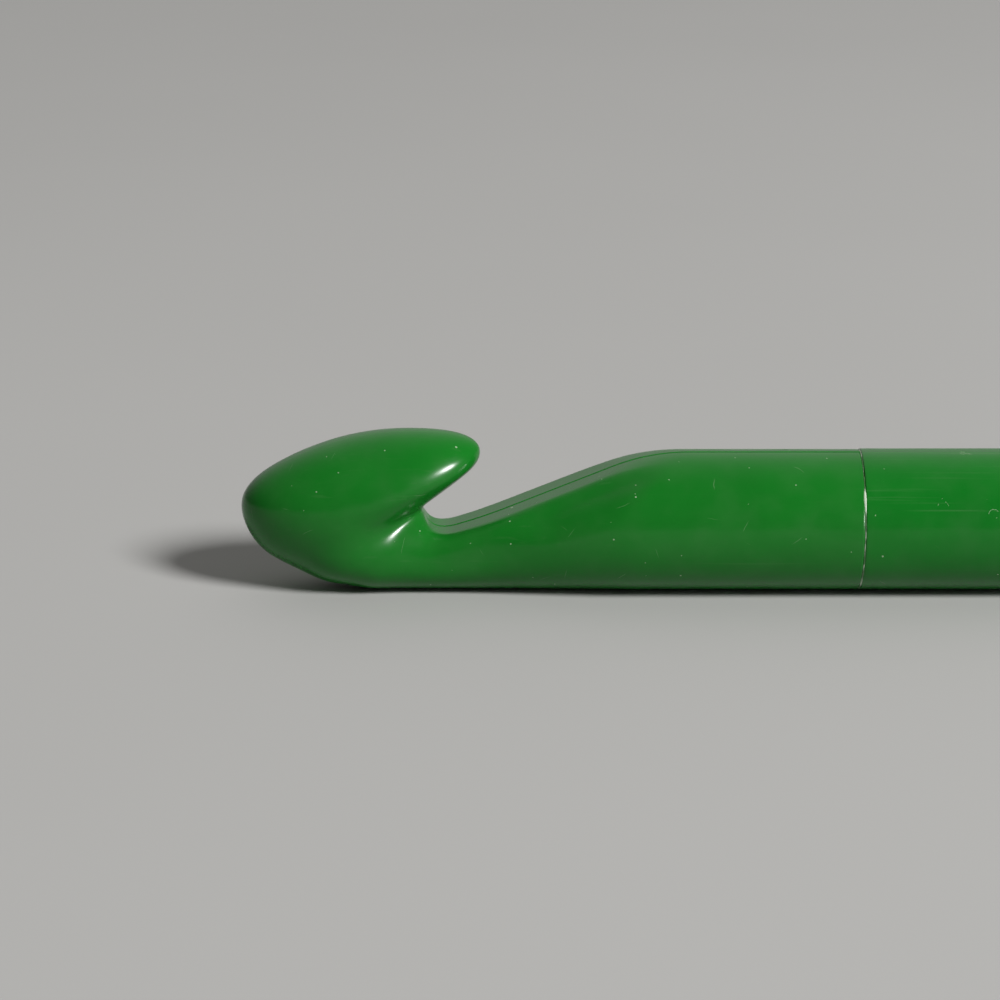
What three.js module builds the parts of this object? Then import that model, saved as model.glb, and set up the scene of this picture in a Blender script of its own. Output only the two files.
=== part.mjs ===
// A 15 mm plastic crochet hook: a moulded head, a hollow shaft tube and an end plug,
// joined end to end with cement. Millimetres. +X runs from the nose to the plug, +Z is up
// (the side the lip is on), and the hook lies on z = 0 with its nose at X = -90.
import * as THREE from 'three';
import { mergeVertices } from 'three/addons/utils/BufferGeometryUtils.js';

// ---- driving dimensions -------------------------------------------------------------------
const LENGTH = 180;              // nose to the plug's end face
const SHAFT_R = 7.5;             // a 15 mm hook
const WALL = 2;                  // wall of the shaft tube
const HEAD_LENGTH = 66;          // nose to the joint with the tube
const PLUG_LENGTH = 8;           // visible length of the end plug
const SIDES = 24;                // flats round the shaft, one of them underneath

// the joints: a shallow V groove filled by a ring of cement, and a ribbed spigot inside
const JOINT_GAP = 0.1;           // between the faces that meet
const GROOVE = 0.35;             // chamfer on each side of the groove
const CEMENT_CLEAR = 0.08;       // between the cement and the chamfers
const CEMENT_BELOW = 0.06;       // how far the cement lies under the surface
const SPIGOT_LENGTH = 14;
const SPIGOT_R = 4.9;
const RIB_R = 5.2;               // over the crush ribs on a spigot
const RIB_EVERY = 6;             // one rib on every sixth flat
const SPIGOT_LEAD = 0.6;         // chamfer on the spigot's end
const HEAD_CORE_R = 3;           // the bore that cores out the thick end of the head
const HEAD_CORE_DEPTH = 34;      // measured from the spigot's end
const CORE_TIP = 1.5;            // height of the cone that ends a core
const PLUG_CORE_R = 3.6;
const PLUG_CORE_DEPTH = 16;
const PLUG_EDGE_R = 2.5;         // round edge of the plug's end
const PLUG_EDGE_STEPS = 5;

// the head's lobe in the side plane, round from the nose over the lip and back underneath
const LOBE_OUTLINE = [
  [0, 9], [1, 11.5], [4.1, 13.8], [9.4, 16.1], [15, 17.3], [20.2, 17.4], [23.8, 16.8], [25.35, 15.7],
  [25.4, 14.4], [23.9, 12.7], [19.3, 9.15], [15, 5.6], [11.7, 2.5], [8.8, 1.3], [5, 2.6], [1.7, 4.9],
];
const LOBE_CENTRE = { x: 11.5, z: 9.6 };
const LOBE_HALF_WIDTH = 6.5;
const OUTLINE_STEPS = 720;

// the neck runs from the cheek under the lobe, through its narrowest place, to the full shaft
const NECK_X = 21;               // its narrowest place
const HALF_WIDTH = { cheek: 5.4, cheekX: 12, neck: 4.4, shaftX: 43 };
const AXIS_Z = { cheek: 4.3, cheekX: 15, neck: 3.4, shaftX: 41 };
const CHEEK_ABOVE = 4.4;         // height of the neck above its axis at the cheek
const CHEEK_ABOVE_X = 14;
const FULL_ABOVE_X = 24;         // from here its upper half is as high as the shaft's
const CHIN_START_X = 14.4;       // the neck draws in from here towards the nose
const CHIN_END_X = 6.3;
const CHIN_DRAWN_IN = 0.98;      // how far the drawing in goes
const CHIN_LIFT = 2;             // rise of the neck's axis at its end
const CHIN_STOP_X = 6.9;         // a flat end, hidden in the lobe
const CHIN_ROUND = 0.8;

// the notch: a floor, a slope up to the shaft and an end wall under the lip
const THROAT = { x: 26.4, z: 8, slope: 22.2, floor: 5, round: 3.8 };
const THROAT_WALL_X = 19.4;
const NOTCH_ROUND = 3.5;
const EDGE_ROUND = 1.6;          // edges of the notch's floor
const SLOPE_EDGE_ROUND = 3;      // how much rounder the slope's outer edges are
const SLOPE_EDGE = { start: 26, rise: 8, fall: 9, end: 47, y: 2.6, across: 2.2 };

// blend of the neck into the lobe: sharp in the notch, softer on the cheek and towards the nose
const CREASE_ROUND = 0.9;
const CHEEK_ROUND = { more: 1.5, x: 19.4, run: 5 };
const NOSE_ROUND = { more: 1.2, x: 14.5, run: 6 };
const SHALLOW = 8;               // depth under the skin at which the distances level off
const TINY = 1e-6;

// the rings that the head's surface is built from
const PIVOT = { x: 21.3, z: 8.6 };   // a point in the notch that the fan of rings turns about
const FAN_START = -90;           // degrees: straight down, through the neck
const FAN_END = -250;            // degrees: up and back, across the lip
const STEM_RINGS = 12;
const FAN_RINGS = 32;
const LIP_RINGS = 8;
const RAY_STEP = 0.2;
const RAY_LENGTH = 30;
const HALVINGS = 24;
const LIP_STEP = 0.01;           // step of the search for the lip's end
const STUB_START = 4;            // from the taper's end to the first round ring
const RING_RISE = 0.45;          // rise per mm of the points the stem's rays start from

// ---- smooth joins of the shape's surfaces ---------------------------------------------------
const rad = THREE.MathUtils.degToRad;

function smoothMax(a, b, round) {
  const h = Math.max(round - Math.abs(a - b), 0) / round;
  return Math.max(a, b) + h * h * round / 4;
}

function smoothMin(a, b, round) {
  return -smoothMax(-a, -b, round);
}

function ease(t) {
  const s = THREE.MathUtils.clamp(t, 0, 1);
  return s * s * (3 - 2 * s);
}

function eased(from, to, share) {
  return from + (to - from) * ease(share);
}

// ---- the head's shape: each function is below zero inside its solid -------------------------
// how far the lobe's outline lies from its centre, sorted by angle
function outlineReaches() {
  const points = LOBE_OUTLINE.map(([x, z]) => new THREE.Vector3(x - LOBE_CENTRE.x, z - LOBE_CENTRE.z, 0));
  const curve = new THREE.CatmullRomCurve3(points, true, 'centripetal');
  const outline = curve.getPoints(OUTLINE_STEPS);
  const reaches = outline.map((p) => ({ angle: Math.atan2(p.y, p.x), reach: p.length() }));
  return reaches.sort((a, b) => a.angle - b.angle);
}

const REACHES = outlineReaches();

function lobeReach(angle) {
  let low = 0;
  let high = REACHES.length - 1;
  while (high - low > 1) {
    const middle = Math.floor((low + high) / 2);
    if (REACHES[middle].angle > angle) {
      high = middle;
    } else {
      low = middle;
    }
  }
  const share = (angle - REACHES[low].angle) / (REACHES[high].angle - REACHES[low].angle);
  return REACHES[low].reach + share * (REACHES[high].reach - REACHES[low].reach);
}

function lobe(x, y, z) {
  const dx = x - LOBE_CENTRE.x;
  const dz = z - LOBE_CENTRE.z;
  const side = Math.hypot(dx, dz) / lobeReach(Math.atan2(dz, dx));
  const scale = Math.max(Math.hypot(side, y / LOBE_HALF_WIDTH), TINY);
  return (scale - 1) * Math.min(Math.hypot(dx, y, dz) / scale, SHALLOW);
}

// a size of the neck that changes from the cheek to the narrowest place and on to the shaft
function alongNeck(x, size) {
  if (x > NECK_X) {
    return eased(size.neck, SHAFT_R, (x - NECK_X) / (size.shaftX - NECK_X));
  }
  return eased(size.neck, size.cheek, (NECK_X - x) / (NECK_X - size.cheekX));
}

function stem(x, y, z) {
  const share = (CHIN_START_X - x) / (CHIN_START_X - CHIN_END_X);
  const chin = THREE.MathUtils.clamp(share, 0, CHIN_DRAWN_IN);
  const taper = Math.sqrt(1 - chin * chin);
  const halfWidth = alongNeck(x, HALF_WIDTH) * taper;
  const axis = alongNeck(x, AXIS_Z);
  const above = eased(CHEEK_ABOVE, SHAFT_R, (x - CHEEK_ABOVE_X) / (FULL_ABOVE_X - CHEEK_ABOVE_X));
  const dz = z - axis - CHIN_LIFT * chin * chin;
  const high = (dz > 0 ? above : axis) * taper;
  const around = Math.max(Math.hypot(y / halfWidth, dz / high), TINY);
  const skin = (around - 1) * Math.min(Math.hypot(y, dz) / around, SHALLOW);
  return smoothMax(skin, CHIN_STOP_X - x, CHIN_ROUND);
}

function aboveThroat(x, z) {
  const slope = rad(THROAT.slope);
  const line = THROAT.z + Math.tan(slope) * (x - THROAT.x);
  const floor = (z - smoothMax(line, THROAT.floor, THROAT.round)) * Math.cos(slope);
  return smoothMin(floor, x - THROAT_WALL_X, NOTCH_ROUND);
}

function edgeRound(x, y) {
  const up = ease((x - SLOPE_EDGE.start) / SLOPE_EDGE.rise);
  const down = ease((SLOPE_EDGE.end - x) / SLOPE_EDGE.fall);
  const outer = ease((Math.abs(y) - SLOPE_EDGE.y) / SLOPE_EDGE.across);
  return EDGE_ROUND + SLOPE_EDGE_ROUND * up * down * outer;
}

function neckAndShaft(x, y, z) {
  return smoothMax(stem(x, y, z), aboveThroat(x, z), edgeRound(x, y));
}

function head(x, y, z) {
  const cheek = CHEEK_ROUND.more * ease((CHEEK_ROUND.x - x) / CHEEK_ROUND.run);
  const nose = NOSE_ROUND.more * ease((NOSE_ROUND.x - x) / NOSE_ROUND.run);
  return smoothMin(lobe(x, y, z), neckAndShaft(x, y, z), CREASE_ROUND + cheek + nose);
}

// ---- rings of points where rays leave the head ----------------------------------------------
function along(start, step, distance) {
  return [start[0] + step[0] * distance, start[1] + step[1] * distance, start[2] + step[2] * distance];
}

// distance along a ray to where it next crosses the surface
function crossing(start, step, from) {
  const inside = head(...along(start, step, from)) < 0;
  let near = from;
  let far = from;
  while (far < from + RAY_LENGTH && head(...along(start, step, far)) < 0 === inside) {
    near = far;
    far += RAY_STEP;
  }
  for (let i = 0; i < HALVINGS; i += 1) {
    const middle = (near + far) / 2;
    if (head(...along(start, step, middle)) < 0 === inside) {
      near = middle;
    } else {
      far = middle;
    }
  }
  return (near + far) / 2;
}

// one closed ring in the plane through a point, across the hook, in a direction of the side plane
function ring(x, z, degrees) {
  const into = [Math.cos(rad(degrees)), 0, Math.sin(rad(degrees))];
  const inner = crossing([x, 0, z], into, 0);
  const outer = crossing([x, 0, z], into, inner + RAY_STEP);
  const centre = along([x, 0, z], into, (inner + outer) / 2);
  const half = (outer - inner) / 2;
  const across = crossing(centre, [0, 1, 0], 0);
  const points = [];
  for (let i = 0; i < SIDES; i += 1) {
    const angle = (i + 0.5) * 2 * Math.PI / SIDES;
    const ray = new THREE.Vector3(into[0] * half * Math.cos(angle), across * Math.sin(angle),
      into[2] * half * Math.cos(angle)).normalize();
    points.push(along(centre, ray.toArray(), crossing(centre, ray.toArray(), 0)));
  }
  return points;
}

// a ring round the shaft's axis, with ribs standing out on every sixth flat
function roundRing(x, radius, ribRadius = radius) {
  const points = [];
  for (let i = 0; i < SIDES; i += 1) {
    const angle = (i + 0.5) * 2 * Math.PI / SIDES;
    const onRib = i % RIB_EVERY === 2 || i % RIB_EVERY === 3;
    const r = onRib ? ribRadius : radius;
    points.push([x, r * Math.sin(angle), SHAFT_R - r * Math.cos(angle)]);
  }
  return points;
}

function lipDirection() {
  const lean = rad(FAN_END + 360 - 90);
  return { x: Math.cos(lean), z: Math.sin(lean) };
}

// how far along the lip there is still material across the ring's plane
function lipLength() {
  const lip = lipDirection();
  const into = [Math.cos(rad(FAN_END)), 0, Math.sin(rad(FAN_END))];
  let reach = 0;
  let solid = true;
  while (solid) {
    reach += LIP_STEP;
    const start = [PIVOT.x + lip.x * reach, 0, PIVOT.z + lip.z * reach];
    const far = along(start, into, crossing(start, into, 0));
    solid = Math.hypot(far[0] - start[0], far[2] - start[2]) < RAY_LENGTH / 2;
  }
  return reach;
}

// the point of the lip: the head's surface straight out from the pivot along the lip
function lipTip() {
  const lip = lipDirection();
  const reach = lipLength() - RAY_STEP;
  const into = [Math.cos(rad(FAN_END)), 0, Math.sin(rad(FAN_END))];
  const start = [PIVOT.x + lip.x * reach, 0, PIVOT.z + lip.z * reach];
  const inner = crossing(start, into, 0);
  const outer = crossing(start, into, inner + LIP_STEP);
  const centre = along(start, into, (inner + outer) / 2);
  const out = [lip.x, 0, lip.z];
  return along(centre, out, crossing(centre, out, 0));
}

function headRings() {
  const rings = [];
  const lip = lipDirection();
  const reach = lipLength();
  for (let i = LIP_RINGS - 1; i > 0; i -= 1) {
    const out = reach * Math.sin(i / LIP_RINGS * Math.PI / 2);
    rings.push(ring(PIVOT.x + lip.x * out, PIVOT.z + lip.z * out, FAN_END));
  }
  for (let i = FAN_RINGS; i > 0; i -= 1) {
    rings.push(ring(PIVOT.x, PIVOT.z, FAN_START + (FAN_END - FAN_START) * i / FAN_RINGS));
  }
  const shaftStart = HALF_WIDTH.shaftX + STUB_START;
  for (let i = 0; i < STEM_RINGS; i += 1) {
    const x = PIVOT.x + (shaftStart - PIVOT.x) * i / (STEM_RINGS - 1);
    rings.push(ring(x, PIVOT.z + (x - PIVOT.x) * RING_RISE, FAN_START));
  }
  rings.push(roundRing(HEAD_LENGTH - JOINT_GAP / 2 - GROOVE, SHAFT_R));
  return rings;
}

// a closed surface through rings, with a pole at each end
function skin(rings, firstPole, lastPole) {
  const position = [...firstPole, ...rings.flat(2), ...lastPole];
  const last = rings.length * SIDES + 1;
  const index = [];
  for (let i = 0; i < SIDES; i += 1) {
    const next = (i + 1) % SIDES;
    index.push(0, 1 + next, 1 + i);
    for (let r = 0; r < rings.length - 1; r += 1) {
      const a = 1 + r * SIDES + i;
      const b = 1 + r * SIDES + next;
      index.push(a, b, b + SIDES, a, b + SIDES, a + SIDES);
    }
    index.push(last, last - SIDES + i, last - SIDES + next);
  }
  const geometry = new THREE.BufferGeometry();
  geometry.setAttribute('position', new THREE.Float32BufferAttribute(position, 3));
  geometry.setIndex(index);
  geometry.computeVertexNormals();
  return geometry;
}

// ---- the pieces ---------------------------------------------------------------------------
// the ribbed spigot and the bore that cores it out, from the joint's face to the core's tip
function spigotRings(face, reach, coreRadius, coreDepth) {
  const way = Math.sign(reach);
  const end = face + reach;
  const lead = end - way * SPIGOT_LEAD;
  return [
    roundRing(face, SHAFT_R - GROOVE),
    roundRing(face, SPIGOT_R, RIB_R),
    roundRing(lead, SPIGOT_R, RIB_R),
    roundRing(end, SPIGOT_R - SPIGOT_LEAD / 2),
    roundRing(end, coreRadius),
    roundRing(end - way * (coreDepth - CORE_TIP), coreRadius),
  ];
}

function hookHead() {
  const face = HEAD_LENGTH - JOINT_GAP / 2;
  const rings = [...headRings(), ...spigotRings(face, SPIGOT_LENGTH, HEAD_CORE_R, HEAD_CORE_DEPTH)];
  const coreTip = [face + SPIGOT_LENGTH - HEAD_CORE_DEPTH, 0, SHAFT_R];
  return skin(rings, lipTip(), coreTip);
}

function endPlug() {
  const face = LENGTH - PLUG_LENGTH + JOINT_GAP / 2;
  const rounds = [];
  for (let i = 0; i <= PLUG_EDGE_STEPS; i += 1) {
    const angle = i / PLUG_EDGE_STEPS * Math.PI / 2;
    const x = LENGTH - PLUG_EDGE_R * (1 - Math.cos(angle));
    rounds.push(roundRing(x, SHAFT_R - PLUG_EDGE_R * (1 - Math.sin(angle))));
  }
  const spigot = spigotRings(face, -SPIGOT_LENGTH, PLUG_CORE_R, PLUG_CORE_DEPTH);
  const rings = [...rounds, roundRing(face + GROOVE, SHAFT_R), ...spigot].reverse();
  const coreTip = [face - SPIGOT_LENGTH + PLUG_CORE_DEPTH, 0, SHAFT_R];
  return skin(rings, coreTip, [LENGTH, 0, SHAFT_R]);
}

// a turned piece on the shaft's axis: the profile is a closed list of [x, radius]
function turned(profile) {
  const points = profile.map(([x, radius]) => new THREE.Vector2(radius, x));
  const lathe = new THREE.LatheGeometry([...points, points[0]], SIDES, Math.PI / SIDES);
  lathe.deleteAttribute('normal');
  lathe.deleteAttribute('uv');
  const geometry = mergeVertices(lathe, 1e-4);
  geometry.rotateZ(-Math.PI / 2);
  geometry.translate(0, 0, SHAFT_R);
  geometry.computeVertexNormals();
  return geometry;
}

function shaftTube() {
  const start = HEAD_LENGTH + JOINT_GAP / 2;
  const end = LENGTH - PLUG_LENGTH - JOINT_GAP / 2;
  return turned([
    [start, SHAFT_R - WALL],
    [start, SHAFT_R - GROOVE],
    [start + GROOVE, SHAFT_R],
    [end - GROOVE, SHAFT_R],
    [end, SHAFT_R - GROOVE],
    [end, SHAFT_R - WALL],
  ]);
}

function cementRing(x) {
  const half = GROOVE + JOINT_GAP / 2 - CEMENT_CLEAR * Math.SQRT2 - CEMENT_BELOW;
  const root = JOINT_GAP / 2;
  return turned([
    [x - half, SHAFT_R - CEMENT_BELOW],
    [x + half, SHAFT_R - CEMENT_BELOW],
    [x + root, SHAFT_R - CEMENT_BELOW - half + root],
    [x - root, SHAFT_R - CEMENT_BELOW - half + root],
  ]);
}

// ---- materials and assembly ---------------------------------------------------------------
const moulded = new THREE.MeshStandardMaterial({ color: 0x1e8228, roughness: 0.28, metalness: 0 });
const extruded = new THREE.MeshStandardMaterial({ color: 0x1f8429, roughness: 0.33, metalness: 0 });
const cement = new THREE.MeshStandardMaterial({ color: 0xb9cdb0, roughness: 0.5, metalness: 0 });

const hook = new THREE.Group();

function add(name, geometry, material) {
  const mesh = new THREE.Mesh(geometry, material);
  mesh.name = name;
  mesh.position.x = -LENGTH / 2;
  hook.add(mesh);
}

add('hook_head', hookHead(), moulded);
add('shaft_tube', shaftTube(), extruded);
add('end_plug', endPlug(), moulded);
add('head_joint_cement', cementRing(HEAD_LENGTH), cement);
add('plug_joint_cement', cementRing(LENGTH - PLUG_LENGTH), cement);

export default hook;
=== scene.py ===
import math

import bpy
import numpy as np
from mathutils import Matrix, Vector


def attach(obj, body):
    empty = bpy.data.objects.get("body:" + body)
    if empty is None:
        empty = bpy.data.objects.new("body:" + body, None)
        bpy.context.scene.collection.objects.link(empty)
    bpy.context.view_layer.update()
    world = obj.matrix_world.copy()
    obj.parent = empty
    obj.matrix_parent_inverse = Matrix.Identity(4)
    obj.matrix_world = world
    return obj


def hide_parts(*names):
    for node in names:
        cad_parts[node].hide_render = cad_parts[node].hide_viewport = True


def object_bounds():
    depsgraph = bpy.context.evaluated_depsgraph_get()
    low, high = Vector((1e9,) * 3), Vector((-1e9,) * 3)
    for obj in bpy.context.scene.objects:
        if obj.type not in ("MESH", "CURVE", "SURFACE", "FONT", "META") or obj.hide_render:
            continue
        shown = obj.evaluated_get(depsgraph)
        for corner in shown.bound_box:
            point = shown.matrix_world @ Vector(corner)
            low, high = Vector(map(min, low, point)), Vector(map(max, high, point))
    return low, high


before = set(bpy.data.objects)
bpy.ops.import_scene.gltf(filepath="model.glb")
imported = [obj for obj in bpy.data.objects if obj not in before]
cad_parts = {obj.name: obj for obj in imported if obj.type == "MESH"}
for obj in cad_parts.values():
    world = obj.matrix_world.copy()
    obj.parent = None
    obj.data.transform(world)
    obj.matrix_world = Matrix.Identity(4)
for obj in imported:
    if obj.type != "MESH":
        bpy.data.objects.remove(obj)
cad_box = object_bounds()

# A 15 mm moulded crochet hook. Lengths below are in millimetres in the head's own frame:
# x from the nose, y across, z up from the surface it lies on. shared() takes them to the
# metres and the place of the frame that the CAD pieces share.
MM = 0.001
SHAFT_R = 7.5
HEAD_LENGTH = 66.0
LENGTH = 180.0
PLUG_LENGTH = 8.0
WALL = 2.0
JOINT_GAP = 0.1
NOSE_X = cad_box[1].x / MM - LENGTH  # the nose, in the frame the CAD pieces share

# ---- the head's shape -------------------------------------------------------------------------
# the lobe's outline in the side plane, round from the nose over the lip and back underneath
OUTLINE = [(0, 9), (1, 11.5), (4.1, 13.8), (9.4, 16.1), (15, 17.3), (20.2, 17.4), (23.8, 16.8),
           (25.35, 15.7), (25.4, 14.4), (23.9, 12.7), (19.3, 9.15), (15, 5.6), (11.7, 2.5),
           (8.8, 1.3), (5, 2.6), (1.7, 4.9)]
LOBE_X, LOBE_Z = 11.5, 9.6
LOBE_HALF_WIDTH = 6.5
LOBE_DEPTH, STEM_DEPTH = 7.0, 8.0   # depths under the skin at which distances level off


def smooth_max(a, b, r):
    h = np.maximum(r - np.abs(a - b), 0) / r
    return np.maximum(a, b) + h * h * r / 4


def smooth_min(a, b, r):
    return -smooth_max(-a, -b, r)


def ease(t):
    t = np.clip(t, 0, 1)
    return t * t * (3 - 2 * t)


def closed_spline(points, samples):
    """A smooth closed curve through points, a periodic cubic spline."""
    q = np.array(points, float)
    n = len(q)
    h = np.linalg.norm(np.roll(q, -1, 0) - q, axis=1) ** 0.5
    a = np.zeros((n, n))
    rhs = np.zeros((n, 2))
    for i in range(n):
        before, after = h[i - 1], h[i]
        a[i, i - 1] = before
        a[i, i] = 2 * (before + after)
        a[i, (i + 1) % n] = after
        rhs[i] = 6 * ((q[(i + 1) % n] - q[i]) / after - (q[i] - q[i - 1]) / before)
    m = np.linalg.solve(a, rhs)
    out = []
    for i in range(n):
        j = (i + 1) % n
        t = np.linspace(0, h[i], samples, endpoint=False)[:, None]
        s = h[i] - t
        out.append((m[i] * s ** 3 + m[j] * t ** 3) / (6 * h[i])
                   + (q[i] / h[i] - m[i] * h[i] / 6) * s + (q[j] / h[i] - m[j] * h[i] / 6) * t)
    return np.concatenate(out)


CURVE = closed_spline(OUTLINE, 200)
CURVE_ANGLE = np.arctan2(CURVE[:, 1] - LOBE_Z, CURVE[:, 0] - LOBE_X)
CURVE_REACH = np.hypot(CURVE[:, 1] - LOBE_Z, CURVE[:, 0] - LOBE_X)
CURVE_ORDER = np.argsort(CURVE_ANGLE)
CURVE_ANGLE, CURVE_REACH = CURVE_ANGLE[CURVE_ORDER], CURVE_REACH[CURVE_ORDER]


def lobe(x, y, z):
    dx, dz = x - LOBE_X, z - LOBE_Z
    reach = np.interp(np.arctan2(dz, dx), CURVE_ANGLE, CURVE_REACH, period=2 * math.pi)
    side = np.hypot(dx, dz)
    scale = np.sqrt((side / reach) ** 2 + (y / LOBE_HALF_WIDTH) ** 2)
    away = np.sqrt(side ** 2 + y ** 2)
    return (scale - 1) * np.minimum(away / np.maximum(scale, 1e-6), LOBE_DEPTH)


# the neck, which runs from the cheek under the lobe to the full shaft
NECK_X = 21.0                       # its narrowest place
NECK_HALF_WIDTH, CHEEK_HALF_WIDTH = 4.4, 5.4
CHEEK_X, FULL_WIDTH_X = 12.0, 43.0
NECK_AXIS, CHEEK_AXIS = 3.4, 4.3
CHEEK_AXIS_X, FULL_HEIGHT_X = 15.0, 41.0
CHEEK_ABOVE = 4.4                   # height of the neck above its axis at the cheek
CHIN_START_X, CHIN_END_X, CHIN_LIFT = 14.4, 6.3, 2.0
CHIN_ROUND = 0.8
SMALL = 1e-12                       # keeps square roots and divisions off zero

# the notch: a floor, a slope up to the shaft, and an end wall under the lip
SLOPE_X, SLOPE_Z, SLOPE = 26.4, 8.0, math.radians(22.2)
FLOOR_Z, FLOOR_ROUND = 5.0, 3.8
WALL_X, NOTCH_ROUND = 19.4, 3.5
EDGE_ROUND, SLOPE_EDGE_ROUND = 1.6, 3.0
SOFT_START_X, SOFT_RISE = 26.0, 8.0     # where along the slope its edges are rounder
SOFT_END_X, SOFT_FALL = 47.0, 9.0
SOFT_Y, SOFT_ACROSS = 2.6, 2.2
CREASE_ROUND, CHEEK_ROUND, NOSE_ROUND = 0.9, 1.5, 1.2


def along_neck(x, cheek, neck, cheek_x, shaft_x):
    """A size that changes from the cheek to the narrowest place and on to the shaft."""
    return np.where(x > NECK_X, neck + (SHAFT_R - neck) * ease((x - NECK_X) / (shaft_x - NECK_X)),
                    neck + (cheek - neck) * ease((NECK_X - x) / (NECK_X - cheek_x)))


def stem(x, y, z):
    chin = np.clip((CHIN_START_X - x) / (CHIN_START_X - CHIN_END_X), 0, 0.98)
    taper = np.sqrt(1 - chin ** 2)
    wide = along_neck(x, CHEEK_HALF_WIDTH, NECK_HALF_WIDTH, CHEEK_X, FULL_WIDTH_X) * taper
    axis = along_neck(x, CHEEK_AXIS, NECK_AXIS, CHEEK_AXIS_X, FULL_HEIGHT_X)
    above = CHEEK_ABOVE + (SHAFT_R - CHEEK_ABOVE) * ease((x - 14) / 10)
    dz = z - axis - CHIN_LIFT * chin ** 2
    high = np.where(dz > 0, above, axis) * taper
    around = np.sqrt((y / wide) ** 2 + (dz / high) ** 2 + SMALL)
    skin = (around - 1) * np.minimum(np.hypot(y, dz) / around, STEM_DEPTH)
    return smooth_max(skin, CHIN_END_X + 0.6 - x, CHIN_ROUND)


def neck(x, y, z):
    line = smooth_max(SLOPE_Z + math.tan(SLOPE) * (x - SLOPE_X), FLOOR_Z, FLOOR_ROUND)
    notch = smooth_min((z - line) * math.cos(SLOPE), x - WALL_X, NOTCH_ROUND)
    along = ease((x - SOFT_START_X) / SOFT_RISE) * ease((SOFT_END_X - x) / SOFT_FALL)
    outer = along * ease((np.abs(y) - SOFT_Y) / SOFT_ACROSS)
    return smooth_max(stem(x, y, z), notch, EDGE_ROUND + SLOPE_EDGE_ROUND * outer)


def head_field(x, y, z):
    blend = (CREASE_ROUND + CHEEK_ROUND * ease((WALL_X - x) / 5)
             + NOSE_ROUND * ease((14.5 - x) / 6))
    return smooth_min(lobe(x, y, z), neck(x, y, z), blend)


# ---- rings of points where rays leave the head ------------------------------------------------
PIVOT = np.array([21.3, 8.6])
FAN_START, FAN_END = -90.0, -250.0
AROUND = 192                        # points round each ring
CROWD = 0.40                        # how much they crowd towards the parting plane
LIP_RINGS, FAN_RINGS, STEM_RINGS = 44, 170, 70
STEM_END_X = 47.0
STEM_RISE = 0.45                    # rise per mm of the points the stem's rays start from
RAY_STEP = 0.25
RAY_REACH = 30.0
HALVINGS = 22
NUDGE = 1e-4                        # takes a ray's start off the surface


def march(start, step, reach, inside):
    """Distance along each ray to its first crossing of the surface, from inside or outside."""
    def value(t):
        p = start + step * t[..., None]
        f = head_field(p[..., 0], p[..., 1], p[..., 2])
        return f < 0 if inside else f >= 0

    t = np.zeros(start.shape[:-1])
    going = np.ones(t.shape, bool)
    while going.any() and t.max() < reach:
        ahead = value(t + RAY_STEP)
        going &= ahead
        t = np.where(going, t + RAY_STEP, t)
    found = ~going
    near, far = t, t + RAY_STEP
    for _ in range(HALVINGS):
        middle = (near + far) / 2
        keep = value(middle)
        near, far = np.where(keep, middle, near), np.where(keep, far, middle)
    return (near + far) / 2, found


def even(n=AROUND):
    return np.arange(n) * 2 * math.pi / n


def ring_angles():
    u = even()
    return u - CROWD * np.sin(2 * u)


def rings_at(x, z, degrees):
    """Closed rings in planes across the hook, each through a point of the side plane."""
    a = np.radians(degrees)
    into = np.stack([np.cos(a), 0 * a, np.sin(a)], -1)
    start = np.stack([x, 0 * x, z], -1)
    inner, _ = march(start, into, RAY_REACH, False)
    begin = start + into * (inner + NUDGE)[:, None]
    thick, _ = march(begin, into, RAY_REACH, True)
    centre = begin + into * (thick / 2)[:, None]
    across, _ = march(centre, np.broadcast_to([0.0, 1.0, 0.0], centre.shape), RAY_REACH, True)
    u = ring_angles()
    ray = (into[:, None] * (thick / 2)[:, None, None] * np.cos(u)[None, :, None]
           + np.array([0.0, 1.0, 0.0]) * across[:, None, None] * np.sin(u)[None, :, None])
    ray /= np.linalg.norm(ray, axis=2, keepdims=True)
    begin = np.broadcast_to(centre[:, None], ray.shape)
    out, _ = march(begin, ray, RAY_REACH, True)
    return begin + ray * out[..., None]


def round_rings(profile, angles=None, rib=0.0, axis_z=SHAFT_R):
    """Rings round the shaft's axis, from a list of (x, radius); rib is how far four ribs stand out."""
    u = ring_angles() if angles is None else angles
    x, radius = np.array(profile, float).T
    swell = rib * np.exp(-((u[:, None] - (np.arange(4) + 0.5) * math.pi / 2) / 0.12) ** 2).sum(1)
    radius = radius[:, None] + swell
    return np.stack([np.broadcast_to(x[:, None], radius.shape), radius * np.sin(u),
                     axis_z - radius * np.cos(u)], -1)


def lip_reach(lip):
    """How far along the lip there is still material across the rings' plane."""
    into = np.array([math.cos(math.radians(FAN_END)), 0, math.sin(math.radians(FAN_END))])
    steps = np.arange(0, 12, 0.005)
    start = np.stack([PIVOT[0] + lip[0] * steps, 0 * steps, PIVOT[1] + lip[1] * steps], -1)
    _, found = march(start, np.broadcast_to(into, start.shape), RAY_REACH / 2, False)
    return steps[found].max()


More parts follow.
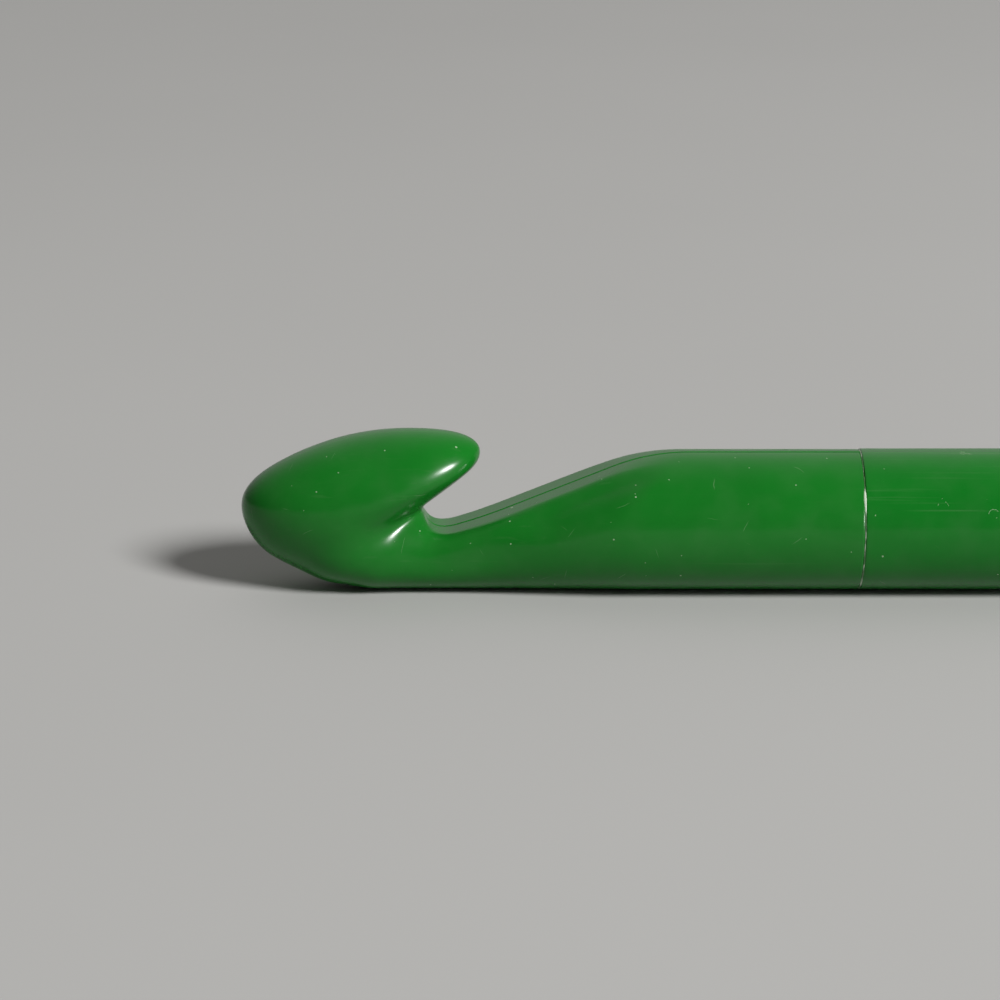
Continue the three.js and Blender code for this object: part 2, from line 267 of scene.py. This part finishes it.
def head_rings():
    """Rings from the lip's point, round the notch in a fan, and along the neck to the stub."""
    lean = math.radians(FAN_END + 270)
    lip = np.array([math.cos(lean), math.sin(lean)])
    reach = lip_reach(lip) - 0.004
    out = reach * np.sin(np.linspace(1, 0, LIP_RINGS, endpoint=False) * math.pi / 2)
    lip_rings = rings_at(PIVOT[0] + lip[0] * out, PIVOT[1] + lip[1] * out,
                         np.full(LIP_RINGS, FAN_END))
    turn = np.linspace(FAN_END, FAN_START, FAN_RINGS, endpoint=False)
    fan = rings_at(np.full(FAN_RINGS, PIVOT[0]), np.full(FAN_RINGS, PIVOT[1]), turn)
    stem_x = np.linspace(PIVOT[0], STEM_END_X, STEM_RINGS)
    stem_z = PIVOT[1] + (stem_x - PIVOT[0]) * STEM_RISE
    along = rings_at(stem_x, stem_z, np.full(STEM_RINGS, FAN_START))
    tip = lip_rings[0].mean(0)
    ahead = np.array([lip[0], 0, lip[1]])
    t, _ = march(tip[None], ahead[None], 3, True)
    return np.concatenate([lip_rings, fan, along]), tip + ahead * t[0]


def shared(points):
    """Points of the head's frame, in millimetres, as places in the shared frame, in metres."""
    p = np.array(points, float)
    p[..., 0] += NOSE_X
    return p * MM


def mesh_piece(name, verts, faces, material, node):
    mesh = bpy.data.meshes.new(name)
    mesh.from_pydata(shared(verts).tolist(), [], faces)
    mesh.shade_smooth()
    o = bpy.data.objects.new(name, mesh)
    bpy.context.scene.collection.objects.link(o)
    mesh.materials.append(material)
    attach(o, "root")
    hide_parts(node)
    return o


def capped(rings, first, last):
    """Vertices and faces of a closed skin through rings, with a pole point at each end."""
    count, n = rings.shape[:2]
    end = count * n + 1
    faces = []
    for i in range(n):
        j = (i + 1) % n
        faces.append((0, 1 + j, 1 + i))
        for r in range(count - 1):
            a, b = 1 + r * n + i, 1 + r * n + j
            faces.append((a, b, b + n, a + n))
        faces.append((end, end - n + i, end - n + j))
    return np.concatenate([[first], rings.reshape(-1, 3), [last]]), faces


def looped(rings):
    """Vertices and faces of a ring-shaped skin: the last ring joins the first."""
    count, n = rings.shape[:2]
    faces = []
    for r in range(count):
        for i in range(n):
            j, s = (i + 1) % n, (r + 1) % count
            faces.append((r * n + i, r * n + j, s * n + j, s * n + i))
    return rings.reshape(-1, 3), faces


# ---- materials --------------------------------------------------------------------------------
def node(tree, kind, sockets=None, output=0, **settings):
    """Adds a node and gives one of its outputs; each socket gets a value or another output."""
    n = tree.nodes.new("ShaderNode" + kind)
    for key, value in settings.items():
        setattr(n, key, value)
    for key, value in (sockets or {}).items():
        if isinstance(value, bpy.types.NodeSocket):
            tree.links.new(value, n.inputs[key])
        else:
            n.inputs[key].default_value = value
    return n.outputs[output]


def noise(tree, place, scale, detail=2.0):
    return node(tree, "TexNoise", {"Vector": place, "Scale": scale, "Detail": detail})


def ramp(tree, value, start, end, low=0.0, high=1.0):
    return node(tree, "MapRange", {"Value": value, "From Min": start, "From Max": end,
                                   "To Min": low, "To Max": high},
                interpolation_type="SMOOTHSTEP")


def maths(tree, operation, a, b):
    return node(tree, "Math", {0: a, 1: b}, operation=operation)


def mix(tree, share, a, b):
    return node(tree, "MixRGB", {"Fac": share, "Color1": a, "Color2": b})


def vectors(tree, operation, a, b, output=0):
    return node(tree, "VectorMath", {0: a, 1: b}, output, operation=operation)


def shaken(tree, place, scale, reach):
    """Places pushed about by noise, so that patterns drawn on them come out uneven."""
    push = vectors(tree, "MULTIPLY", noise(tree, place, scale), (reach,) * 3)
    return vectors(tree, "ADD", push, place)


def specks(tree, place, cell, share, size):
    """Little round flecks, one in some of the cells of a random pattern."""
    cells = tree.nodes.new("ShaderNodeTexVoronoi")
    tree.links.new(place, cells.inputs["Vector"])
    cells.inputs["Scale"].default_value = 1 / cell
    pick = node(tree, "SeparateColor", {"Color": cells.outputs["Color"]})
    reach = ramp(tree, pick, 1 - share, 1, 0, size / cell)
    return maths(tree, "LESS_THAN", cells.outputs["Distance"], reach)


def scratches(tree, place, cell, width, share):
    """Short fine strokes in some of the cells of a random pattern, each at its own slant."""
    bent = shaken(tree, place, 500, cell * 0.25)
    cells = tree.nodes.new("ShaderNodeTexVoronoi")
    tree.links.new(bent, cells.inputs["Vector"])
    cells.inputs["Scale"].default_value = 1 / cell
    chance = node(tree, "SeparateColor", {"Color": cells.outputs["Color"]}, "Red")
    slant = node(tree, "SeparateColor", {"Color": cells.outputs["Color"]}, "Green")
    apart = vectors(tree, "SUBTRACT", bent, cells.outputs["Position"])
    local = vectors(tree, "MULTIPLY", apart, (1 / cell,) * 3)
    turned = node(tree, "VectorRotate", {"Vector": local, "Axis": (0.1, 0.9, 0.3),
                                         "Angle": maths(tree, "MULTIPLY", slant, 6.28)})
    height = node(tree, "SeparateXYZ", {0: turned}, "Z")
    off = node(tree, "Math", {0: height}, operation="ABSOLUTE")
    line = ramp(tree, off, 0, width / cell, 1, 0)
    line = maths(tree, "MULTIPLY", line, ramp(tree, cells.outputs["Distance"], 0.1, 0.3, 1, 0))
    return maths(tree, "MULTIPLY", line, maths(tree, "GREATER_THAN", chance, 1 - share))


def away_from(tree, place, at):
    return vectors(tree, "DISTANCE", place, shared(at), "Value")


def nicks(tree, place, marks):
    """Pale nicks at given places: filled dots, or curls, which are broken rings."""
    uneven = shaken(tree, place, 1500, 0.0002)
    gaps = maths(tree, "GREATER_THAN", noise(tree, place, 1400, 0.0), 0.5)
    total = None
    for at, radius, curl in marks:
        away = away_from(tree, uneven, at)
        if curl:
            off = maths(tree, "SUBTRACT", away, radius * MM)
            off = node(tree, "Math", {0: off}, operation="ABSOLUTE")
            ring = maths(tree, "MULTIPLY", maths(tree, "LESS_THAN", off, CURL_WIDTH * MM), 0.6)
            mask = maths(tree, "MULTIPLY", ring, gaps)
        else:
            mask = maths(tree, "LESS_THAN", away, radius * MM)
        total = mask if total is None else maths(tree, "MAXIMUM", total, mask)
    return total


def plastic(name, colour, line_strength, marks):
    """Coloured gloss plastic: cloudy colour, pale flecks and hairlines, faint lengthwise lines."""
    m = bpy.data.materials.new(name)
    m.use_nodes = True
    t = m.node_tree
    shader = t.nodes["Principled BSDF"]
    place = node(t, "TexCoord", output="Object")
    cloud = noise(t, place, 90, 4.0)
    film = noise(t, place, 320)
    drawn = noise(t, vectors(t, "MULTIPLY", place, (0.02, 1, 1)), 1800, 3.0)
    dark = tuple(c * (1 - CLOUD) for c in colour) + (1,)
    light = tuple(c * (1 + CLOUD) for c in colour) + (1,)
    base = mix(t, ramp(t, cloud, 0.3, 0.7), dark, light)
    base = mix(t, ramp(t, film, 0.35, 0.8, 0.0, 0.02), base, DUST)
    base = mix(t, ramp(t, drawn, 0.62, 0.75, 0.0, line_strength), base, DRAWN_LINE)
    flecks = specks(t, place, SPECK_CELL, SPECK_SHARE, SPECK_SIZE)
    flecks = maths(t, "MAXIMUM", flecks, nicks(t, place, marks))
    hair = scratches(t, place, HAIR_CELL, HAIR_WIDTH, HAIR_SHARE)
    wear = maths(t, "MAXIMUM", flecks, maths(t, "MULTIPLY", hair, 0.22))
    base = mix(t, maths(t, "MULTIPLY", wear, 0.75), base, WORN)
    rough = ramp(t, film, 0.25, 0.8, SMOOTHEST, ROUGHEST)
    rough = maths(t, "ADD", rough, maths(t, "MULTIPLY", wear, 0.3))
    height = maths(t, "MULTIPLY", noise(t, place, 450), 0.35)
    height = maths(t, "ADD", height, maths(t, "MULTIPLY", drawn, 0.25 + 4 * line_strength))
    height = maths(t, "ADD", height, flecks)
    bump = node(t, "Bump", {"Height": height, "Strength": 0.2, "Distance": 0.00003})
    t.links.new(base, shader.inputs["Base Color"])
    t.links.new(rough, shader.inputs["Roughness"])
    t.links.new(bump, shader.inputs["Normal"])
    shader.inputs["IOR"].default_value = PLASTIC_IOR
    return m


def dried_cement(name):
    """Cement: thin and dull where it was wiped, pale where it was left thick, which is in front."""
    m = bpy.data.materials.new(name)
    m.use_nodes = True
    t = m.node_tree
    shader = t.nodes["Principled BSDF"]
    place = node(t, "TexCoord", output="Object")
    patch = noise(t, place, 700, 4.0)
    thick = ramp(t, away_from(t, place, CEMENT_BLOB), 0.8 * MM, 1.6 * MM, 1, 0)
    wiped = ramp(t, patch, 0.45, 0.7, 0, 0.75)
    base = mix(t, maths(t, "MAXIMUM", thick, wiped), THIN_CEMENT, THICK_CEMENT)
    fine = noise(t, place, 2500, 3.0)
    bump = node(t, "Bump", {"Height": fine, "Strength": 0.5, "Distance": 0.00006})
    t.links.new(base, shader.inputs["Base Color"])
    t.links.new(ramp(t, patch, 0.3, 0.7, 0.35, 0.6), shader.inputs["Roughness"])
    t.links.new(bump, shader.inputs["Normal"])
    return m


HEAD_GREEN = (0.006, 0.152, 0.012)
TUBE_GREEN = (0.004, 0.150, 0.011)
DUST = (0.30, 0.34, 0.26, 1)
DRAWN_LINE = (0.25, 0.36, 0.22, 1)
WORN = (0.42, 0.56, 0.36, 1)
THIN_CEMENT = (0.06, 0.16, 0.05, 1)
THICK_CEMENT = (0.55, 0.64, 0.50, 1)
CEMENT_BLOB = (HEAD_LENGTH, -6.3, 11.5)
CLOUD = 0.05                        # how much the colour clouds, as a share
SMOOTHEST, ROUGHEST = 0.19, 0.27
PLASTIC_IOR = 1.36
SPECK_CELL, SPECK_SHARE, SPECK_SIZE = 0.0012, 0.5, 0.000085     # lengths in metres
HAIR_CELL, HAIR_SHARE, HAIR_WIDTH = 0.003, 0.5, 0.00004

# nicks seen on the hook: where each one is, its radius, and whether it is a curl
CURL_WIDTH = 0.02
HEAD_MARKS = [((32.0, -4.3, 9.9), 0.16, False), ((41.9, -5.7, 12.3), 0.17, False),
              ((42.0, -5.9, 12.0), 0.12, False), ((43.3, -5.9, 2.9), 0.40, True),
              ((23.1, -2.3, 16.3), 0.13, False), ((37.4, -6.6, 4.8), 0.12, False),
              ((24.6, -4.3, 6.3), 0.10, False), ((29.2, -5.2, 6.7), 0.09, False),
              ((29.0, -0.6, 9.1), 0.17, False), ((16.9, -4.8, 3.8), 0.08, False)]
TUBE_MARKS = [((68.0, -7.3, 5.8), 0.14, False), ((74.2, -6.6, 11.1), 0.55, True),
              ((79.5, -6.9, 10.4), 0.50, True)]


# ---- the pieces -------------------------------------------------------------------------------
SPIGOT_LENGTH, SPIGOT_R, RIB_HEIGHT = 14.0, 4.9, 0.3
HEAD_BORE, HEAD_BORE_DEPTH = 3.0, 34.0
PLUG_BORE, PLUG_BORE_DEPTH = 3.6, 16.0
CORE_TIP = 1.5                      # height of the cone that ends a bore
PLUG_EDGE = 2.5                     # round edge of the plug's end
PROUD = 0.04                        # how far the tube stands proud of the head's stub
WAVER = 0.010                       # unevenness of the tube's wall
SEAM_STEP, SEAM_GROOVE = 0.05, 0.045
BLOB_ANGLE = math.radians(237)      # where round the joint the cement was left thick
BEAD_HALF, BEAD_THICK = 0.08, 0.13  # half the bead's width, and how deep it sits


def relax(points, weight, rounds):
    """Evens out a grid of rings: each point moves towards the mean of its four neighbours."""
    p = points.copy()
    w = weight[..., None]
    for _ in range(rounds):
        mean = (np.roll(p, 1, 1) + np.roll(p, -1, 1)) / 2
        mean[1:-1] = mean[1:-1] / 2 + (p[2:] + p[:-2]) / 4
        p = p + w * (mean - p) * 0.5
    return p


def grid_normals(p):
    """Unit normals of a grid of rings."""
    across = np.roll(p, -1, 1) - np.roll(p, 1, 1)
    n = np.cross(across, np.gradient(p, axis=0))
    return n / np.maximum(np.linalg.norm(n, axis=2, keepdims=True), SMALL)


def parting_line(p):
    """The mould's parting line in the middle plane: a fine groove, and the far half a hair higher."""
    y = p[..., 1]
    step = SEAM_STEP * ease((y + 0.03) / 0.06) * np.exp(-np.maximum(y, 0) / 1.5)
    groove = -SEAM_GROOVE * np.exp(-((y + 0.06) / 0.07) ** 2)
    on_lip = ease(p[..., 2] - 9.5) * ease(27.5 - p[..., 0])
    worn = 0.08 + 0.92 * ease((p[..., 0] - 19) / 3) * (1 - on_lip)
    clear = worn * ease((p[..., 2] - 0.6) / 1.5)
    return p + grid_normals(p) * ((step + groove) * clear)[..., None]


def rounded_edge(x, way, radius=SHAFT_R, edge=0.16):
    """Profile points round to a face at x; way is +1 where x grows towards the face."""
    turn = np.linspace(0, math.pi / 2, 6)
    return [(x - way * edge * (1 - math.sin(a)), radius - edge * (1 - math.cos(a))) for a in turn]


def spigot(face, way, bore, depth):
    """The ribbed spigot that goes into the tube, and the bore that cores it out."""
    end = face + way * SPIGOT_LENGTH
    shoulder = round_rings([(face, 7.0), (face, 5.4), (face + way * 0.06, 5.1)])
    outer = round_rings([(face + way * 0.25, SPIGOT_R + 0.03), (face + way * 0.6, SPIGOT_R),
                         (end - way * 3, SPIGOT_R), (end - way * 0.6, SPIGOT_R)], rib=RIB_HEIGHT)
    rest = round_rings([(end - way * 0.2, 4.75), (end, 4.45), (end, bore + 0.25),
                        (end - way * 0.25, bore), (end - way * (depth - CORE_TIP), bore)])
    return np.concatenate([shoulder, outer, rest])


def hook_head(material):
    rings, tip = head_rings()
    x, y, z = np.moveaxis(rings, 2, 0)
    chin = ease((15.5 - x) / 5) * ease((x - 2.5) / 3) * ease((8.5 - z) / 3)
    rings = relax(rings, chin, 60)
    x, y, z = np.moveaxis(rings, 2, 0)
    cheek = (ease((x - 12) / 3) * ease((22 - x) / 3) * ease((9.6 - z) / 2.5) * ease((z - 2.5) / 2)
             * ease((np.abs(y) - 1.5) / 1.5))
    rings = relax(rings, cheek, 30)
    face = HEAD_LENGTH - JOINT_GAP / 2
    stub = [(at, SHAFT_R) for at in (47.7, 49, 51, 53, 55, 57, 59, 61, 63, 64.2, 65, 65.5, 65.7)]
    rings = np.concatenate([rings, round_rings(stub + rounded_edge(face, 1))])
    rings = np.concatenate([parting_line(rings), spigot(face, 1, HEAD_BORE, HEAD_BORE_DEPTH)])
    verts, faces = capped(rings, tip, (face + SPIGOT_LENGTH - HEAD_BORE_DEPTH, 0, SHAFT_R))
    return mesh_piece("hook_head_skin", verts, faces, material, "hook_head")


def shaft_tube(material):
    """The tube stands a hair proud of the head's stub, and its wall wavers as extruded plastic does."""
    start = HEAD_LENGTH + JOINT_GAP / 2
    end = LENGTH - PLUG_LENGTH - JOINT_GAP / 2
    radius = SHAFT_R + PROUD
    left = rounded_edge(start, -1, radius)[::-1]
    right = rounded_edge(end, 1, radius)
    middle = [(x, radius) for x in np.linspace(start + 0.6, end - 0.6, 60)]
    u = even()
    outer = round_rings(left + middle + right, u, axis_z=radius)
    rng = np.random.default_rng(11)
    waver = sum(rng.uniform(0.2, 1) * np.cos(k * u + rng.uniform(0, 6.3)) / k for k in range(5, 40))
    waver = WAVER * waver / np.abs(waver).max()
    off_floor = ease(4 * (1 - np.cos(u)))
    lift = np.stack([0 * u, np.sin(u), -np.cos(u)], -1) * (waver * off_floor)[:, None]
    inward = np.minimum(outer[..., 0] - start, end - outer[..., 0])
    outer = outer + lift * ease(inward / 0.4)[..., None]
    bore = round_rings([(end, SHAFT_R - WALL), (start, SHAFT_R - WALL)], u)
    verts, faces = looped(np.concatenate([outer, bore]))
    return mesh_piece("shaft_tube_skin", verts, faces, material, "shaft_tube")


def end_plug(material):
    face = LENGTH - PLUG_LENGTH + JOINT_GAP / 2
    turn = np.linspace(0, math.pi / 2, 24)
    dome = [(LENGTH - PLUG_EDGE * (1 - math.cos(a)), SHAFT_R - PLUG_EDGE * (1 - math.sin(a)))
            for a in turn]
    flat = [(LENGTH, r) for r in (1.0, 2.2, 3.4, 4.4)]
    wall = [(x, SHAFT_R) for x in (177.2, 176, 174.5, 173.2)]
    outer = round_rings(flat + dome + wall + rounded_edge(face, -1))
    rings = np.concatenate([outer, spigot(face, -1, PLUG_BORE, PLUG_BORE_DEPTH)])[::-1]
    core_tip = (face - SPIGOT_LENGTH + PLUG_BORE_DEPTH, 0, SHAFT_R)
    verts, faces = capped(rings, core_tip, (LENGTH, 0, SHAFT_R))
    return mesh_piece("end_plug_skin", verts, faces, material, "end_plug")


def cement_bead(name, node_name, x, seed, blob, material):
    """An uneven bead of dried cement in the groove; blob is how much wider it runs at the front."""
    u = even(288)
    rng = np.random.default_rng(seed)
    wave = sum(rng.normal() * np.cos(k * u + rng.uniform(0, 6.3)) / k ** 0.6 for k in range(2, 46))
    wave = wave / np.abs(wave).max()
    shift = sum(rng.normal() * np.cos(k * u + rng.uniform(0, 6.3)) / k for k in range(3, 30))
    shift = 0.05 * shift / np.abs(shift).max()
    front = np.exp(-((u - BLOB_ANGLE) / 0.14) ** 2) * blob
    half = BEAD_HALF + 0.04 * wave + 0.16 * front
    top = SHAFT_R - 0.01 + 0.03 * wave + 0.07 * front
    rings = []
    for a in np.linspace(0, 2 * math.pi, 12, endpoint=False):
        radius = top - BEAD_THICK + BEAD_THICK * math.sin(a)
        rings.append(np.stack([x + shift + half * math.cos(a), radius * np.sin(u),
                               SHAFT_R - radius * np.cos(u)], -1))
    verts, faces = looped(np.array(rings)[::-1])
    return mesh_piece(name, verts, faces, material, node_name)


moulded = plastic("green_moulded", HEAD_GREEN, 0.03, HEAD_MARKS)
extruded = plastic("green_extruded", TUBE_GREEN, 0.08, TUBE_MARKS)
glue = dried_cement("dried_cement")
hook_head(moulded)
shaft_tube(extruded)
end_plug(moulded)
cement_bead("head_joint_bead", "head_joint_cement", HEAD_LENGTH, 3, 1.0, glue)
cement_bead("plug_joint_bead", "plug_joint_cement", LENGTH - PLUG_LENGTH, 8, 0.0, glue)


# ---- floor, camera and light --------------------------------------------------------------------
FLOOR_HALF = 3.0                    # metres
VIEW_DOWN = 17.5                    # degrees
AIM_X, RISE, DISTANCE = 27.65, 2.04, 342.0      # millimetres
LENS = 114.9
FLOOR_DARK = (0.43, 0.426, 0.415, 1)
FLOOR_LIGHT = (0.46, 0.456, 0.445, 1)
LIT_PLACE = (-0.05, 0, 0.008)       # metres, the middle of the head


def stage():
    floor_mesh = bpy.data.meshes.new("floor")
    s = FLOOR_HALF
    floor_mesh.from_pydata([(-s, -s, 0), (s, -s, 0), (s, s, 0), (-s, s, 0)], [], [(0, 1, 2, 3)])
    floor = bpy.data.objects.new("floor", floor_mesh)
    bpy.context.scene.collection.objects.link(floor)
    m = bpy.data.materials.new("floor")
    m.use_nodes = True
    t = m.node_tree
    shader = t.nodes["Principled BSDF"]
    cloud = noise(t, node(t, "TexCoord", output="Object"), 6, 3.0)
    base = mix(t, cloud, FLOOR_DARK, FLOOR_LIGHT)
    t.links.new(base, shader.inputs["Base Color"])
    shader.inputs["Roughness"].default_value = 0.9
    shader.inputs["Specular IOR Level"].default_value = 0.0
    floor_mesh.materials.append(m)


def camera():
    e = math.radians(VIEW_DOWN)
    back = Vector((0, -math.cos(e), math.sin(e)))
    up = Vector((0, math.sin(e), math.cos(e)))
    aim = Vector(((NOSE_X + AIM_X) * MM, 0, SHAFT_R * MM))
    data = bpy.data.cameras.new("camera")
    data.lens = LENS
    data.clip_start = 0.01
    cam = bpy.data.objects.new("camera", data)
    cam.location = aim + back * DISTANCE * MM + up * RISE * MM
    cam.rotation_mode = "QUATERNION"
    cam.rotation_quaternion = (-back).to_track_quat("-Z", "Y")
    bpy.context.scene.collection.objects.link(cam)
    bpy.context.scene.camera = cam


def area_light(name, direction, distance, size, power, gloss=True, matt=True):
    """A round soft light; gloss and matt say which kind of reflection it takes part in."""
    d = Vector(direction).normalized()
    data = bpy.data.lights.new(name, "AREA")
    data.shape = "DISK"
    data.size = size
    data.energy = power
    o = bpy.data.objects.new(name, data)
    o.location = Vector(LIT_PLACE) + d * distance
    o.rotation_mode = "QUATERNION"
    o.rotation_quaternion = d.to_track_quat("Z", "Y")
    o.visible_glossy = gloss
    o.visible_diffuse = matt
    bpy.context.scene.collection.objects.link(o)


def soft_room(ambient, direction, level, power):
    """Plain studio light from all round: an even level and a broad soft glow in one direction."""
    world = bpy.data.worlds.new("studio")
    bpy.context.scene.world = world
    world.use_nodes = True
    t = world.node_tree
    background = t.nodes["Background"]
    sky = node(t, "TexCoord", output="Generated")
    toward = vectors(t, "DOT_PRODUCT", sky, Vector(direction).normalized(), "Value")
    facing = maths(t, "MAXIMUM", toward, 0.0)
    glow = maths(t, "MULTIPLY", maths(t, "POWER", facing, power), level)
    t.links.new(maths(t, "ADD", glow, ambient), background.inputs["Strength"])
    background.inputs["Color"].default_value = (1.0, 0.99, 0.97, 1)


stage()
camera()
area_light("main", (0.62, -0.50, 0.60), 2.4, 0.70, 72.0, gloss=False)
area_light("glint", (0.69, -0.68, 0.21), 2.0, 0.40, 70.0, matt=False)
soft_room(0.08, (-0.1, 0.75, 0.65), 0.6, 3.0)
bpy.context.scene.view_settings.view_transform = "Standard"
